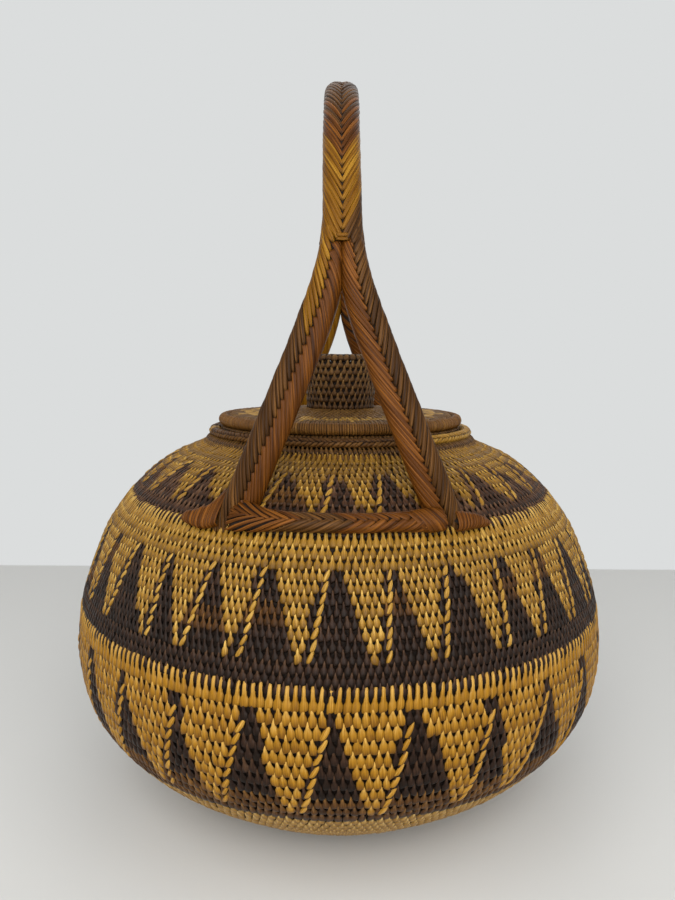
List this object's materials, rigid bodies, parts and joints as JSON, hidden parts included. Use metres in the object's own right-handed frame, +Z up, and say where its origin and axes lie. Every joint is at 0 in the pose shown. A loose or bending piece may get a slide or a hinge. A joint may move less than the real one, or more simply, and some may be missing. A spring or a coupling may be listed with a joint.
{
  "type": "lidded basket",
  "caption": "Squat round coiled basket with triangle bands, a loose disc lid with a drum knob, and a tall arched cane handle that forks into two legs front and rear.",
  "frame": {"origin": "middle of the flat base, on the surface that the basket stands on", "axes": "+Z up through the knob, the handle's arch in the YZ plane with its front fork towards -Y"},
  "size_m": [0.2842, 0.2842, 0.3765],
  "materials": {
    "pale_straw_coil": "undyed split vine, close coiled",
    "golden_straw_coil": "undyed split vine stitches with dyed dark triangles",
    "brown_vine_coil": "brown dyed split vine stitches, satin",
    "dark_vine_coil": "dark dyed split vine stitches, satin",
    "bare_cane": "peeled cane, satin",
    "split_cane_binding": "red-brown split cane strips, satin sheen"
  },
  "bodies": {
    "basket": {"base_coil": "pale_straw_coil", "waist_wall": "golden_straw_coil", "shoulder_wall": "golden_straw_coil", "neck_wall": "golden_straw_coil", "lower_wall": "brown_vine_coil", "rim_braid": "brown_vine_coil", "neck_collar": "dark_vine_coil", "cane_left_outer": "bare_cane", "cane_left_inner": "bare_cane", "cane_right_outer": "bare_cane", "cane_right_inner": "bare_cane", "front_bar_core": "bare_cane", "rear_bar_core": "bare_cane", "arch_binding": "split_cane_binding", "leg_binding_front_left": "split_cane_binding", "leg_binding_front_right": "split_cane_binding", "leg_binding_rear_left": "split_cane_binding", "leg_binding_rear_right": "split_cane_binding", "front_bar_binding": "split_cane_binding", "rear_bar_binding": "split_cane_binding", "foot_lashing_front_left": "split_cane_binding", "foot_lashing_front_right": "split_cane_binding", "foot_lashing_rear_left": "split_cane_binding", "foot_lashing_rear_right": "split_cane_binding"},
    "lid": {"lid_plate": "dark_vine_coil", "lid_rim_wrap": "brown_vine_coil", "lid_seat_ring": "brown_vine_coil", "knob_wall": "dark_vine_coil", "knob_cap": "brown_vine_coil"}
  },
  "joints": [
    {"name": "lid_lift", "type": "slide", "parent": "basket", "child": "lid", "axis": [0, 0, 1], "range_m": [0, 0.085]}
  ]
}
